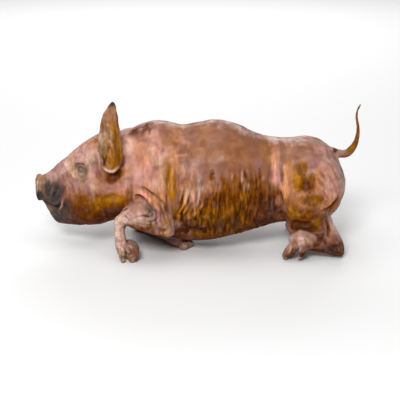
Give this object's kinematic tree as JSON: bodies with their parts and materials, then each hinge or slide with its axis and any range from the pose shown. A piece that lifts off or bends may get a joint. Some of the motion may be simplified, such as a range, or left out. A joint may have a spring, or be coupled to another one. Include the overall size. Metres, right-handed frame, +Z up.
{
  "type": "whole roast suckling pig",
  "caption": "Whole roast suckling pig crouching on folded legs, head on, with a standing cupped ear and a tail that curls up.",
  "frame": {"origin": "on the surface that the pig rests on, under the middle of its bounding box", "axes": "+X from snout to tail, +Z up; the pig's left side, which the picture shows, faces -Y"},
  "size_m": [0.615, 0.2264, 0.3089],
  "materials": {
    "roast_skin": "satin, golden to red-brown, pinkish where it is less done",
    "hoof_horn": "dull, baked dark",
    "eye": "cloudy, sunken"
  },
  "bodies": {
    "root": {"pig": "roast_skin"}
  },
  "joints": []
}
